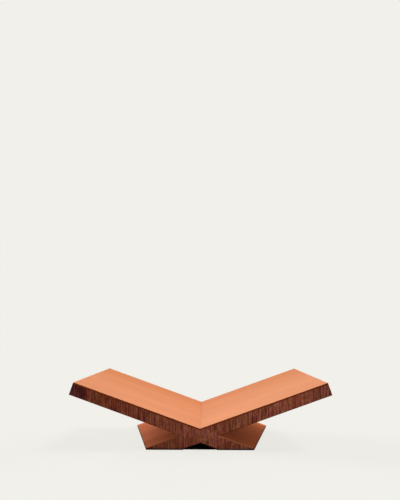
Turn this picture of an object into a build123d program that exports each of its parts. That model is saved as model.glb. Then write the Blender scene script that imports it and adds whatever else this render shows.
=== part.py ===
from build123d import *
import math
import os

# A fixed book stand of two crossed boards, in millimetres.
# Seen from the front the boards make a wide X. Their long upper arms hold an open book in a shallow
# valley, and their short lower legs stand on the table. The line in which the boards cross rises
# towards the back, so the legs, which the table cuts off flat, spread wider at the back.
# Side +1 is the reader's right and side -1 the reader's left. The front face looks along -Y.

# Overall sizes
spread = 452.0  # from tip to tip of the two reading faces
depth = 280.0  # from front face to back face, along the crossing line
slope = 20.0  # degrees, of each board across the stand
tilt = 4.6  # degrees, of the crossing line, up to the back
valley_height = 38.0  # of the valley's front end over the table
board = 23.6  # thickness of a board with its facings

# Skins glued over the two core boards
facing = 1.0  # sheet on every long face
lipping = 3.0  # strips of upright grain on the front and back faces
end_lipping = 3.0  # strip on the end of each arm
arris = 0.4  # small bevel on the finished outer edges
centre_share = 0.94  # half width of the lipping's middle piece, of the way out to the crotch
left_leaf_shares = (0.38, 0.89)  # joints between the leaves of an arm's lipping,
right_leaf_shares = (0.45, 0.85)  # from the crotch out to the tip

# The halving joint in which the boards cross
halving_share = 0.5  # of the depth that each board is slotted
glue_gap = 0.1

# Feet
sole = 2.4  # thickness of the soft sole under each leg
sole_inset = 0.5  # from the edges of the leg over it
toe = 0.6  # upright edge that ends a leg over its sole

# What the sizes above give
rise, lean, dip = (function(math.radians(slope)) for function in (math.tan, math.cos, math.sin))
climb, level = math.sin(math.radians(tilt)), math.cos(math.radians(tilt))
reach = spread / 2
middle = board / 2
underside = board - facing
crotch_out = (middle - facing) / dip
centre_out = crotch_out * centre_share
overrun = board  # how far a cutting shape runs past what it cuts


def out_at(height, inset, y):
    """How far out from the middle a leg's face meets a level plane, y behind the valley's front end."""
    return ((valley_height - height) * level - inset / lean + climb * y) / rise


leg_out = out_at(-overrun, 0, depth + overrun)


def arm_point(side, out, inset):
    """A point of the section, in from an arm's reading face, at a distance out from the middle."""
    return side * out, out * rise - inset / lean


def leg_point(side, out, inset):
    """A point of the section, in from a leg's upper face, at a distance out from the middle."""
    return side * out, -out * rise - inset / lean


def tip_point(side, back, inset):
    """A point of the section, back from an arm's end face and in from its reading face."""
    return side * (reach - back * lean + inset * dip), reach * rise - back * dip - inset * lean


def crotch(side, inset):
    """Where an arm's underside and the leg under it meet, both taken in by the same amount."""
    return side * (middle - inset) / dip, -middle / lean


def prism(points, start=-overrun, end=depth + overrun):
    """A bar with the given section, from one place to another along the crossing line."""
    section = make_face(Polyline(*[(x, start, z) for x, z in points], close=True))
    return extrude(section, amount=end - start, dir=(0, 1, 0))


def tilted(piece):
    """Leans a piece from the section's own frame back by the tilt, with the valley at its height."""
    return Pos(0, 0, valley_height) * Rot(tilt, 0, 0) * piece


def base_waste():
    """What is cut away under the stand: all below the soles' tops, and the thin ends past the toes."""
    below = Pos(0, 0, sole) * Box(2 * spread, 4 * depth, 2 * spread, align=(Align.CENTER, Align.CENTER, Align.MAX))
    ends = [(out_at(sole + toe, 0, y), y) for y in (-depth, 2 * depth)]
    plan = make_face(Polyline(*ends, (2 * spread, 2 * depth), (2 * spread, -depth), close=True))
    past_toe = extrude(plan, amount=sole + toe)
    return below + past_toe + mirror(past_toe, about=Plane.YZ)


def stand_body():
    """The outside of the whole stand over its soles, which every skin and board is cut from."""
    outline = [(0, 0)]
    outline += [tip_point(1, 0, 0), tip_point(1, 0, board), crotch(1, 0)]
    outline += [leg_point(1, leg_out, 0), leg_point(1, leg_out, board), (0, -board / lean)]
    outline += [leg_point(-1, leg_out, board), leg_point(-1, leg_out, 0), crotch(-1, 0)]
    outline += [tip_point(-1, 0, board), tip_point(-1, 0, 0)]
    body = prism(outline, 0, depth)
    front_and_back = body.faces().filter_by(Axis.Y).edges()
    tips = [edge for edge in body.edges().filter_by(Axis.Y) if edge.center().Z > -middle / lean + arris
            and abs(edge.center().X) > arris]
    body = chamfer(front_and_back + tips, arris)
    return tilted(body) - base_waste()


def arm_top_facing(side):
    return prism([(0, overrun), (0, -facing / lean), tip_point(side, -overrun, facing),
                  tip_point(side, -overrun, -overrun)])


def arm_under_facing(side):
    return prism([crotch(side, facing), tip_point(side, -overrun, underside),
                  (tip_point(side, -overrun, underside)[0], -middle / lean)])


def leg_top_facing(side):
    return prism([crotch(side, facing), leg_point(side, leg_out, facing), (side * leg_out, -middle / lean)])


def arch_facing(side):
    low = leg_point(side, leg_out, board + overrun)
    return prism([(0, -underside / lean), leg_point(side, leg_out, underside), low, (0, low[1])])


def board_core(side):
    """The board whose arm is on the given side and whose leg is on the other, slotted for its fellow."""
    core = prism([tip_point(side, end_lipping, facing), tip_point(side, end_lipping, underside),
                  leg_point(-side, leg_out, underside), leg_point(-side, leg_out, facing)],
                 lipping, depth - lipping)
    floor = depth * halving_share - side * glue_gap / 2
    start, end = (floor, depth) if side > 0 else (0, floor)
    slot = prism([arm_point(-side, leg_out, facing - glue_gap), leg_point(side, leg_out, facing - glue_gap),
                  leg_point(side, leg_out, underside + glue_gap), arm_point(-side, leg_out, underside + glue_gap)],
                 start, end)
    return core - slot


def end_strip(side):
    return prism([tip_point(side, back, inset) for back, inset in
                  ((-overrun, facing), (end_lipping, facing), (end_lipping, underside), (-overrun, underside))],
                 lipping, depth - lipping)


def arm_leaf(side, near, far, start, end):
    """One leaf of an arm's lipping, between two upright joints. The inner one ends level over the leg's strip."""
    low = [crotch(side, facing), (side * near, -middle / lean)]
    low = low if near < crotch_out else [arm_point(side, near, underside)]
    return prism([arm_point(side, near, facing), arm_point(side, far, facing),
                  arm_point(side, far, underside), *low], start, end)


def leg_strip(side, start, end):
    return prism([(side * centre_out, -middle / lean), crotch(side, facing), leg_point(side, leg_out, facing),
                  leg_point(side, leg_out, underside), leg_point(side, centre_out, underside)], start, end)


def centre_strip(start, end):
    """The bow-shaped piece of lipping over the crossing, a little short of the two crotches."""
    right = [arm_point(1, centre_out, facing), leg_point(1, centre_out, underside)]
    left = [leg_point(-1, centre_out, underside), arm_point(-1, centre_out, facing)]
    return prism([(0, -facing / lean), *right, (0, -underside / lean), *left], start, end)


def foot_sole(side):
    """The flat sole under a leg, a little smaller than the leg's cut face."""
    front = (valley_height - sole) * climb / level
    back = front + depth / level
    inner = [(side * out_at(sole, board, y), y) for y in (back, front)]
    outer = [(side * out_at(sole + toe, 0, y), y) for y in (front, back)]
    plan = make_face(Polyline(*inner, *outer, close=True))
    return extrude(offset(plan, -sole_inset, kind=Kind.INTERSECTION), amount=sole, dir=(0, 0, 1))


def skins_and_boards():
    """Every piece over the soles, as the zone of the stand's body that it fills."""
    zones = {}
    ends = {"front": (-overrun, lipping), "back": (depth - lipping, depth + overrun)}
    for name, side, shares in (("left", -1, left_leaf_shares), ("right", 1, right_leaf_shares)):
        zones[f"{name}_board"] = board_core(side)
        zones[f"{name}_arm_top_facing"] = arm_top_facing(side)
        zones[f"{name}_arm_under_facing"] = arm_under_facing(side)
        zones[f"{name}_leg_top_facing"] = leg_top_facing(side)
        zones[f"{name}_arch_facing"] = arch_facing(side)
        zones[f"{name}_arm_end_lipping"] = end_strip(side)
        joints = [crotch_out + share * (reach - crotch_out) for share in shares]
        joints = [centre_out, *joints, reach + overrun]
        for end, (start, stop) in ends.items():
            zones[f"{name}_leg_{end}_lipping"] = leg_strip(side, start, stop)
            for leaf, near, far in zip(("inner", "middle", "outer"), joints, joints[1:]):
                zones[f"{name}_arm_{end}_leaf_{leaf}"] = arm_leaf(side, near, far, start, stop)
    for end, (start, stop) in ends.items():
        zones[f"centre_{end}_lipping"] = centre_strip(start, stop)
    return zones


def main():
    os.makedirs("parts", exist_ok=True)
    body = stand_body()
    box = body.bounding_box()
    centred = Pos(0, -(box.min.Y + box.max.Y) / 2, 0)
    pieces = {name: body & tilted(zone) for name, zone in skins_and_boards().items()}
    for name, side in (("left", -1), ("right", 1)):
        pieces[f"{name}_sole"] = foot_sole(side)
    for name, piece in pieces.items():
        export_step(centred * piece, f"parts/{name}.step")
    print(len(pieces), "parts; size over the soles", box.size)


main()
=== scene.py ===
# A fixed book stand of two crossed boards, on a pale studio floor. Lengths are in metres.
import bpy
import math
from mathutils import Matrix, Vector


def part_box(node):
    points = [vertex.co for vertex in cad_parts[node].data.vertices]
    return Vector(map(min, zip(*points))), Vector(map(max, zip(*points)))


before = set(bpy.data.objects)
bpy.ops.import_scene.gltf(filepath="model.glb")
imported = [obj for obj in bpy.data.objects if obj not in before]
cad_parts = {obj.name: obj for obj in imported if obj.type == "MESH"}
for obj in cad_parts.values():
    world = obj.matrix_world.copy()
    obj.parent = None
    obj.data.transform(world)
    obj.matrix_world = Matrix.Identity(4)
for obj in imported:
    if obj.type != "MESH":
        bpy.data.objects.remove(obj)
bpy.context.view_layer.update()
scene = bpy.context.scene
mm = 0.001

# The photograph's camera, fitted to the stand's corners
picture_height = 500  # pixels, of the photograph's 400 by 500
focal_length = 414.0  # pixels
principal_drop = 90  # pixels, of the lens axis below the picture's middle
sensor = 36.0  # millimetres, along the picture's height
eye = Vector((0.0100, -0.8823, 0.1525))
look_up = math.radians(3.347)
look_left = math.radians(0.79)
roll = math.radians(0.08)  # of the camera, to its left

# The studio: a pale floor that meets a backdrop of its own colour, and soft lamps
backdrop = (241, 240, 234)  # a screen colour, 0 to 255 a channel, as all colours here are
floor_half_width = 12.0
shadow_share = 0.11  # of the floor's picture that the lamps' shadows darken
contact_reach = 45 * mm  # how near the object has to be for the painted shade on the floor under it
contact_range = (0.34, 0.50)  # the share of open sky that the floor sees there, from black to pale
contact_inset = 4 * mm  # of that part of the floor, from the object's front and back
contact_samples = 16
lamps = {  # name: where from, level on a surface that faces it, and apparent width in degrees
    "key": (Vector((0.50, 0.10, 1.0)).normalized(), 0.44, 20),
    "left_fill": (Vector((-0.8, 0.70, 0.55)).normalized(), 0.74, 30),
    "right_fill": (Vector((0.8, 0.70, 0.55)).normalized(), 0.30, 30),
    "front": (Vector((0.0, -1.0, 0.02)).normalized(), 0.30, 3),
}
sky_level = 1.0 - sum(level * source.z for source, level, width in lamps.values())  # the open floor gets 1

# What all materials share
noise_range = (0.3, 0.7)  # within which nearly all of a noise lies
plain_tint = (1.0, 1.0, 1.0)

# The smooth veneer of the upper faces
face_colours_and_painted_light = {  # at the front, and at the back; the arms' lighter front is a painted sheen, and the legs' deeper colour is painted shade
    ("left", "arm"): ((241, 156, 110), (230, 142, 85)),
    ("right", "arm"): ((237, 157, 112), (223, 137, 86)),
    # the legs have the arms' veneer, given a deeper, more orange colour as painted shade for the reddish
    # light under the arms
    ("left", "leg"): ((236, 135, 89), (236, 135, 89)),
    ("right", "leg"): ((237, 132, 81), (237, 132, 81)),
}
sheen_fade = (-50 * mm, 140 * mm)  # where the front's colour, lightened by a painted sheen, begins to turn to the back's, and where it ends
face_looks = {  # what the darkest of its figure keeps of its colour, and the stripes' share of the figure
    "arm": {"darkest": (0.92, 0.88, 0.84), "stripes": 0.22, "specular": 0.12},
    "leg": {"darkest": (0.74, 0.66, 0.58), "stripes": 0.60, "specular": 0.02},
}
face_marks = {  # length along the grain, width across it, and how much finer detail the noise has
    "clouds": (180 * mm, 40 * mm, 2.0),
    "bands": (400 * mm, 7 * mm, 2.0),
    "grain": (60 * mm, 0.9 * mm, 3.0),
    "flecks": (6 * mm, 0.35 * mm, 2.0),
}
band_share = 0.6  # of the stripes, which are bands and grain
fleck_share = 0.1  # of the whole figure
face_contrast = (0.35, 0.65)  # the noise that is darkest, and the noise that is lightest
face_roughness = (0.70, 0.78)
face_relief = 0.03 * mm
relief_grain_share = 0.6  # of that relief, of which the flecks make the rest
arm_cut_edge = (101, 36, 0)
cut_edges_and_highlights = {  # the sheet's thin edge, where it shows; on the legs it is lighter, partly its own colour and partly a painted highlight
    ("left", "arm"): arm_cut_edge,
    ("right", "arm"): arm_cut_edge,
    ("left", "leg"): (122, 66, 44),
    ("right", "leg"): (190, 116, 80),
}
mitre_share = 0.09  # how much of the cut edge's colour shows along the valley
mitre_fade = (0.4 * mm, 3.0 * mm)  # either side of the valley, from that share to none
toe_painted_shade = (62, 26, 18)  # painted shade on the legs' thin ends
toe_height = 0.6 * mm  # over the sole
toe_fade = 0.5 * mm

# The streaky veneer of the edges and undersides
dark_streak = (60, 20, 11)
red_brown = (108, 41, 31)
warm_brown = (114, 60, 26)
tan_streak = (144, 86, 66)
brown_place = 0.45  # of either brown, on the way from the dark streaks to the tan ones
edge_figure = {  # marks, written as above, and their share
    "mottle": ((16 * mm, 8 * mm, 1.0), 0.20),
    "streaks": ((60 * mm, 1.4 * mm, 1.0), 0.52),
    "flecks": ((5 * mm, 1.4 * mm, 2.0), 0.28),
}
edge_contrast = (0.385, 0.615)  # the noise of the dark streaks, and the noise of the tan ones
wander = (0.9 * mm, 30 * mm, 12 * mm)  # how far long marks stray, and the length and width of their bends
warmth_marks = (18 * mm, 6 * mm, 1.0)
warmth_shift = 0.3  # from the place on the sheet that the other marks start from
warmth_range = (0.43, 0.57)  # from red brown to warm brown
vein_marks = (90 * mm, 4.5 * mm, 1.0)
vein_shift = 0.7
vein_range = (0.006, 0.03)  # either side of the noise's middle, from a vein to none
pore_marks = (4 * mm, 0.28 * mm, 1.0)
pore_range = (0.60, 0.70)  # from no pore to a pore
pore_depth = 0.45  # of pores and veins, on the way to the dark streaks' colour
edge_roughness = (0.52, 0.42)  # of the dark streaks, and of the tan ones
edge_relief = 0.04 * mm
edge_relief_share = 0.5  # of the flecks, which stand up, and of the pores, which go in
edge_specular = 0.04
line_depth = 4.0 * mm  # of the dark line under a reading face, which fades over its lower half
line_share = 0.95  # how much of the cut edge's colour it has
leaf_tints = {  # how each leaf of the front edge differs from the rest
    "left_arm_front_leaf_outer": (0.45, 0.30, 0.52),
    "left_arm_front_leaf_middle": (0.83, 0.70, 0.61),
    "left_arm_front_leaf_inner": (1.11, 1.07, 1.17),
    "right_arm_front_leaf_inner": (1.16, 1.18, 1.22),
    "right_arm_front_leaf_middle": (1.38, 1.40, 1.65),
    "right_arm_front_leaf_outer": (1.05, 1.09, 1.32),
    "left_leg_front_lipping": (1.00, 0.96, 0.94),
    "right_leg_front_lipping": (1.33, 1.38, 1.51),
    "centre_front_lipping": (1.36, 1.45, 1.68),
}

# Where on its endless sheet each piece in sight is cut, in metres along it and across it
sheet_places = {
    "left_arm_top_facing": 22.26,
    "right_arm_top_facing": 36.647,
    "left_leg_top_facing": 21.743,
    "right_leg_top_facing": 34.291,
    "left_arm_front_leaf_outer": 24.538,
    "left_arm_front_leaf_middle": 23.538,
    "left_arm_front_leaf_inner": 7.914,
    "right_arm_front_leaf_outer": 24.914,
    "right_arm_front_leaf_middle": 26.678,
    "right_arm_front_leaf_inner": 27.941,
    "left_leg_front_lipping": 26.873,
    "right_leg_front_lipping": 31.452,
    "centre_front_lipping": 21.108,
}

# The bare core, in plies that change tone through its thickness, and the thin, dark, pressed felt
plywood = {
    "marks": (60 * mm, 1.6 * mm, 1.0),
    "tones": ((0.4, (150, 112, 76)), (0.6, (198, 166, 124))),
    "roughness": (0.6, 0.75),
    "relief": 0.05 * mm,
    "specular": 0.3,
}
felt = {
    "marks": (1.2 * mm, 0.25 * mm, 3.0, 0.7),  # and how rough the noise is, for matted fibres
    "tones": ((0.35, (24, 8, 9)), (0.65, (46, 20, 18))),
    "roughness": (0.9, 1.0),
    "relief": 0.12 * mm,
    "specular": 0.1,
}


def linear(colour, tint=plain_tint):
    """A screen colour as the light that it stands for by the sRGB curve, tinted."""
    shares = [channel / 255 for channel in colour]
    light = [s / 12.92 if s <= 0.04045 else ((s + 0.055) / 1.055) ** 2.4 for s in shares]
    return (*[channel * t for channel, t in zip(light, tint)], 1.0)


def add(tree, kind, inputs=None, **settings):
    """A node with its settings, and its inputs given by name or number as values or as sockets."""
    made = tree.nodes.new(kind)
    for name, value in settings.items():
        setattr(made, name, value)
    for name, value in (inputs or {}).items():
        if isinstance(value, bpy.types.NodeSocket):
            tree.links.new(value, made.inputs[name])
        else:
            made.inputs[name].default_value = value
    return made


def maths(tree, operation, *values, clamp=False):
    """What an operation makes of its values or sockets."""
    inputs = dict(enumerate(values))
    return add(tree, "ShaderNodeMath", inputs, operation=operation, use_clamp=clamp).outputs[0]


def along(tree, places, direction):
    """How far the places, or any other vector, reach in a direction."""
    inputs = {0: places, 1: direction}
    return add(tree, "ShaderNodeVectorMath", inputs, operation="DOT_PRODUCT").outputs["Value"]


def weighted(tree, *parts):
    """The sum of sockets, each times its share."""
    total = 0.0
    for share, socket in parts:
        total = maths(tree, "MULTIPLY_ADD", socket, share, total)
    return total


def spread_out(tree, value, low, high, to_low=0.0, to_high=1.0):
    """A value taken from one range to another, and held inside it."""
    inputs = {"Value": value, "From Min": low, "From Max": high, "To Min": to_low, "To Max": to_high}
    return add(tree, "ShaderNodeMapRange", inputs, clamp=True).outputs["Result"]


def mixed(tree, share, first, second, blend="MIX"):
    """A colour that goes from the first to the second as the share goes from 0 to 1."""
    inputs = {0: share, 6: first, 7: second}  # the numbers of the node's sockets for colours
    return add(tree, "ShaderNodeMix", inputs, data_type="RGBA", blend_type=blend).outputs[2]


def blended(tree, share, first, second):
    """A shader that goes from the first to the second as the share goes from 0 to 1."""
    return add(tree, "ShaderNodeMixShader", {0: share, 1: first.outputs[0], 2: second.outputs[0]})


def ramp(tree, share, stops, tint=plain_tint):
    """A colour that runs through the stops, each a place from 0 to 1 and a screen colour."""
    node = add(tree, "ShaderNodeValToRGB", {"Fac": share})
    elements = node.color_ramp.elements
    while len(elements) < len(stops):
        elements.new(1.0)
    for element, (place, colour) in zip(elements, stops):
        element.position = place
        element.color = linear(colour, tint)
    return node.outputs["Color"]


def make_camera():
    """The photograph's camera, whose lens axis lies below the picture's middle."""
    camera = bpy.data.objects.new("camera", bpy.data.cameras.new("camera"))
    scene.collection.objects.link(camera)
    scene.camera = camera
    camera.data.sensor_width = sensor
    camera.data.lens = focal_length / picture_height * sensor
    camera.data.shift_y = principal_drop / picture_height
    level = Vector((-math.sin(look_left), math.cos(look_left), 0))
    aim = level * math.cos(look_up) + Vector((0, 0, math.sin(look_up)))
    camera.location = eye
    camera.rotation_euler = aim.to_track_quat("-Z", "Y").to_euler()
    camera.rotation_euler.rotate_axis("Z", roll)


def make_lamps():
    """Far, soft lamps that cover the whole scene."""
    for name, (source, level, width) in lamps.items():
        lamp = bpy.data.objects.new(name, bpy.data.lights.new(name, "SUN"))
        scene.collection.objects.link(lamp)
        lamp.data.energy = level * math.pi
        lamp.data.angle = math.radians(width)
        lamp.rotation_euler = source.to_track_quat("Z", "Y").to_euler()


def seen_directly(tree):
    """1 for rays from the camera, a mirror or a glass, which show the backdrop, and 0 for the others."""
    path = add(tree, "ShaderNodeLightPath")
    either = maths(tree, "ADD", path.outputs["Is Camera Ray"], path.outputs["Is Glossy Ray"])
    return maths(tree, "ADD", either, path.outputs["Is Transmission Ray"], clamp=True)


def make_sky():
    """A white sky that lights the object from all sides and is seen as the backdrop."""
    world = bpy.data.worlds.new("studio")
    world.use_nodes = True
    scene.world = world
    tree = world.node_tree
    tree.nodes.clear()
    light = add(tree, "ShaderNodeBackground", {"Color": (1, 1, 1, 1), "Strength": sky_level})
    shown = add(tree, "ShaderNodeBackground", {"Color": linear(backdrop), "Strength": 1.0})
    both = blended(tree, seen_directly(tree), light, shown)
    add(tree, "ShaderNodeOutputWorld", {"Surface": both.outputs[0]})


def floor_material():
    """The backdrop's colour, with a light real shadow of the object in it and a painted shade that is
    darkest right under it.
    """
    material = bpy.data.materials.new("floor")
    material.use_nodes = True
    tree = material.node_tree
    tree.nodes.clear()
    lit = add(tree, "ShaderNodeBsdfDiffuse", {"Color": linear(backdrop)})
    near = add(tree, "ShaderNodeAmbientOcclusion", {"Distance": contact_reach}, samples=contact_samples)
    low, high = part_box("left_sole")
    middle, half_depth = (low.y + high.y) / 2, (high.y - low.y) / 2
    place = add(tree, "ShaderNodeSeparateXYZ", {0: add(tree, "ShaderNodeTexCoord").outputs["Object"]})
    under = maths(tree, "COMPARE", place.outputs["Y"], middle, half_depth - contact_inset)
    # painted shade: the backdrop's colour darkened by ambient occlusion under the object
    painted_contact_shade = mixed(tree, under, (1, 1, 1, 1), spread_out(tree, near.outputs["AO"], *contact_range))
    backdrop_with_painted_shade = add(tree, "ShaderNodeEmission", {"Color": linear(backdrop), "Strength": painted_contact_shade})
    shown = blended(tree, shadow_share, backdrop_with_painted_shade, lit)
    both = blended(tree, seen_directly(tree), lit, shown)
    add(tree, "ShaderNodeOutputMaterial", {"Surface": both.outputs[0]})
    return material


def make_floor():
    """A wide, level floor, which isn't part of the object."""
    w = floor_half_width
    mesh = bpy.data.meshes.new("floor")
    mesh.from_pydata([(-w, -w, 0), (w, -w, 0), (w, w, 0), (-w, w, 0)], [], [(0, 1, 2, 3)])
    mesh.materials.append(floor_material())
    floor = bpy.data.objects.new("floor", mesh)
    scene.collection.objects.link(floor)


def upper_side(node):
    """The direction that a flat node's upper side looks in, and how far it lies that way."""
    corners = [corner.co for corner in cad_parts[node].data.vertices]
    widest = max(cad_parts[node].data.polygons, key=lambda face: face.area).normal
    up = widest.copy() if widest.z > 0 else -widest
    return up, max(corner.dot(up) for corner in corners)


# The planes and directions of the two boards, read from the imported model
arm_tops = {side: upper_side(f"{side}_arm_top_facing") for side in ("left", "right")}
leg_tops = {side: upper_side(f"{side}_leg_top_facing") for side in ("left", "right")}
backward = arm_tops["right"][0].cross(arm_tops["left"][0]).normalized()
across = Vector((1, 0, 0))
upright = across.cross(backward)  # on the front and back faces, which lean back a little


class Grained:
    """A material in the making: its node tree, and places measured along and across its grain."""

    def __init__(self, name, grain, width):
        self.material = bpy.data.materials.new(name)
        self.material.use_nodes = True
        self.tree = self.material.node_tree
        self.principled = self.tree.nodes["Principled BSDF"]
        self.axes = Matrix((grain, width, grain.cross(width))).transposed().to_euler()
        self.places = add(self.tree, "ShaderNodeTexCoord").outputs["Object"]

    def figure(self, length, width, detail, roughness=0.5, shift=0.0, places=None):
        """Soft noise, 0 to 1, whose marks have this length along the grain and this width across it."""
        inputs = {"Vector": places or self.places, "Rotation": self.axes, "Scale": (length, width, width),
                  "Location": (shift, shift, shift)}
        mapping = add(self.tree, "ShaderNodeMapping", inputs, vector_type="TEXTURE")
        noise = {"Vector": mapping.outputs[0], "Scale": 1.0, "Detail": detail, "Roughness": roughness}
        return add(self.tree, "ShaderNodeTexNoise", noise).outputs["Fac"]

    def bent(self, amount, length, width, shift):
        """The places, pushed about a little on the level, so that long upright marks wander."""
        inputs = {0: (amount, amount, 0), "Scale": self.figure(length, width, 1.0, shift=shift)}
        push = add(self.tree, "ShaderNodeVectorMath", inputs, operation="SCALE")
        return add(self.tree, "ShaderNodeVectorMath", {0: self.places, 1: push.outputs[0]}).outputs[0]

    def facing_off(self, direction, least=0.8):
        """1 where the surface turns away from a direction and its opposite, and 0 elsewhere."""
        normal = add(self.tree, "ShaderNodeTexCoord").outputs["Normal"]
        cosine = maths(self.tree, "ABSOLUTE", along(self.tree, normal, direction))
        return maths(self.tree, "LESS_THAN", cosine, least)

    def finish(self, colour, roughness, height, relief, specular):
        """Links what changes over the surface, and sets what doesn't."""
        bump = add(self.tree, "ShaderNodeBump", {"Height": height, "Distance": relief, "Strength": 1.0})
        self.tree.links.new(colour, self.principled.inputs["Base Color"])
        self.tree.links.new(roughness, self.principled.inputs["Roughness"])
        self.tree.links.new(bump.outputs[0], self.principled.inputs["Normal"])
        self.principled.inputs["Specular IOR Level"].default_value = specular
        return self.material


def face_veneer(name, side, limb, up, shift):
    """The smooth, salmon-coloured sheet on an arm or a leg, with faint straight grain along its board."""
    darkest, stripes, specular = face_looks[limb].values()
    front, back = face_colours_and_painted_light[side, limb]
    cut_edge = linear(cut_edges_and_highlights[side, limb])
    wood = Grained(name, backward.cross(up).normalized(), backward)
    tree = wood.tree
    place = add(tree, "ShaderNodeSeparateXYZ", {0: wood.places})
    # on the arms the front is lighter with a painted sheen, which fades into the back's colour
    base = mixed(tree, spread_out(tree, place.outputs["Y"], *sheen_fade), linear(front), linear(back))
    clouds, bands, grain, flecks = (wood.figure(*marks, shift=shift) for marks in face_marks.values())
    shade = weighted(tree, (1 - fleck_share - stripes, clouds), (band_share * stripes, bands),
                     ((1 - band_share) * stripes, grain), (fleck_share, flecks))
    deeper = mixed(tree, 1.0, base, (*darkest, 1), "MULTIPLY")
    colour = mixed(tree, spread_out(tree, shade, *face_contrast), deeper, base)
    # the thin edge's colour; on the legs this is partly a painted highlight along the top front edge
    colour = mixed(tree, wood.facing_off(up), colour, cut_edge)
    if limb == "arm":
        from_valley = maths(tree, "ABSOLUTE", place.outputs["X"])
        mitre = spread_out(tree, from_valley, *mitre_fade, mitre_share, 0.0)
        colour = mixed(tree, mitre, colour, cut_edge)
    else:
        # painted shade over the legs' thin ends, just above the sole
        toe_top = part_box(name)[0].z + toe_height
        toe_shade = spread_out(tree, place.outputs["Z"], toe_top, toe_top + toe_fade, 1.0, 0.0)
        colour = mixed(tree, toe_shade, colour, linear(toe_painted_shade))
    roughness = spread_out(tree, grain, *noise_range, *face_roughness)
    height = weighted(tree, (relief_grain_share, grain), (1 - relief_grain_share, flecks))
    return wood.finish(colour, roughness, height, face_relief, specular)


def line_under(wood, tops):
    """The dark line's share of the colour, close under an upper side, or under the valley of two."""
    share = line_share
    for up, top in tops:
        height = along(wood.tree, wood.places, up)
        near = spread_out(wood.tree, height, top - line_depth, top - line_depth / 2, 0.0, line_share)
        share = maths(wood.tree, "MINIMUM", share, near)
    return share


def edge_veneer(name, grain, width, shift, tops=()):
    """The dark, streaky wood of the edges and undersides, darkest in a line under the given upper sides."""
    tint = leaf_tints.get(name, plain_tint)
    wood = Grained(name, grain, width)
    tree = wood.tree
    wandering = wood.bent(*wander, shift)
    figures = {kind: wood.figure(*marks, shift=shift, places=wandering)
               for kind, (marks, part) in edge_figure.items()}
    mixture = weighted(tree, *[(part, figures[kind]) for kind, (marks, part) in edge_figure.items()])
    tone = spread_out(tree, mixture, *edge_contrast)
    cool, warm = (ramp(tree, tone, [(0.0, dark_streak), (brown_place, brown), (1.0, tan_streak)], tint)
                  for brown in (red_brown, warm_brown))
    warmth = wood.figure(*warmth_marks, shift=shift + warmth_shift)
    colour = mixed(tree, spread_out(tree, warmth, *warmth_range), cool, warm)
    contours = wood.figure(*vein_marks, shift=shift + vein_shift, places=wandering)
    from_contour = maths(tree, "ABSOLUTE", maths(tree, "SUBTRACT", contours, 0.5))
    veins = spread_out(tree, from_contour, *vein_range, 1.0, 0.0)
    pores = spread_out(tree, wood.figure(*pore_marks, shift=shift), *pore_range)
    marked = maths(tree, "MULTIPLY", maths(tree, "MAXIMUM", pores, veins), pore_depth)
    colour = mixed(tree, marked, colour, linear(dark_streak, tint))
    if tops:
        colour = mixed(tree, line_under(wood, tops), colour, linear(arm_cut_edge))
    roughness = spread_out(tree, tone, 0.0, 1.0, *edge_roughness)
    height = weighted(tree, (edge_relief_share, figures["flecks"]), (-edge_relief_share, pores))
    return wood.finish(colour, roughness, height, edge_relief, edge_specular)


def two_toned(name, marks, tones, roughness, relief, specular):
    """A material with one figure in two tones, which are given with their places in its noise."""
    stuff = Grained(name, across, backward)
    figure = stuff.figure(*marks)
    rough = spread_out(stuff.tree, figure, *noise_range, *roughness)
    return stuff.finish(ramp(stuff.tree, figure, tones), rough, figure, relief, specular)


def veneer_for(name, shift):
    """The veneer of a facing, a lipping or a leaf, which its name tells apart."""
    side, limb = name.split("_")[:2]
    if name.endswith("end_lipping"):
        return edge_veneer(name, arm_tops[side][0], backward, shift)
    if name.endswith("facing"):
        up = (arm_tops if limb == "arm" else leg_tops)[side][0]
        if name.endswith("top_facing"):
            return face_veneer(name, side, limb, up, shift)
        return edge_veneer(name, backward.cross(up).normalized(), backward, shift)
    if side == "centre":
        return edge_veneer(name, upright, across, shift, list(arm_tops.values()))
    return edge_veneer(name, upright, across, shift, [arm_tops[side]] if limb == "arm" else [])


def finish_nodes():
    """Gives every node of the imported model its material."""
    shared = {"board": two_toned("core_plywood", **plywood), "sole": two_toned("sole_felt", **felt)}
    for number, (name, node) in enumerate(sorted(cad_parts.items())):
        shift = sheet_places.get(name, float(number))
        node.material_slots[0].material = shared.get(name.split("_")[-1]) or veneer_for(name, shift)


make_camera()
make_lamps()
make_sky()
make_floor()
finish_nodes()
scene.view_settings.view_transform = "Standard"
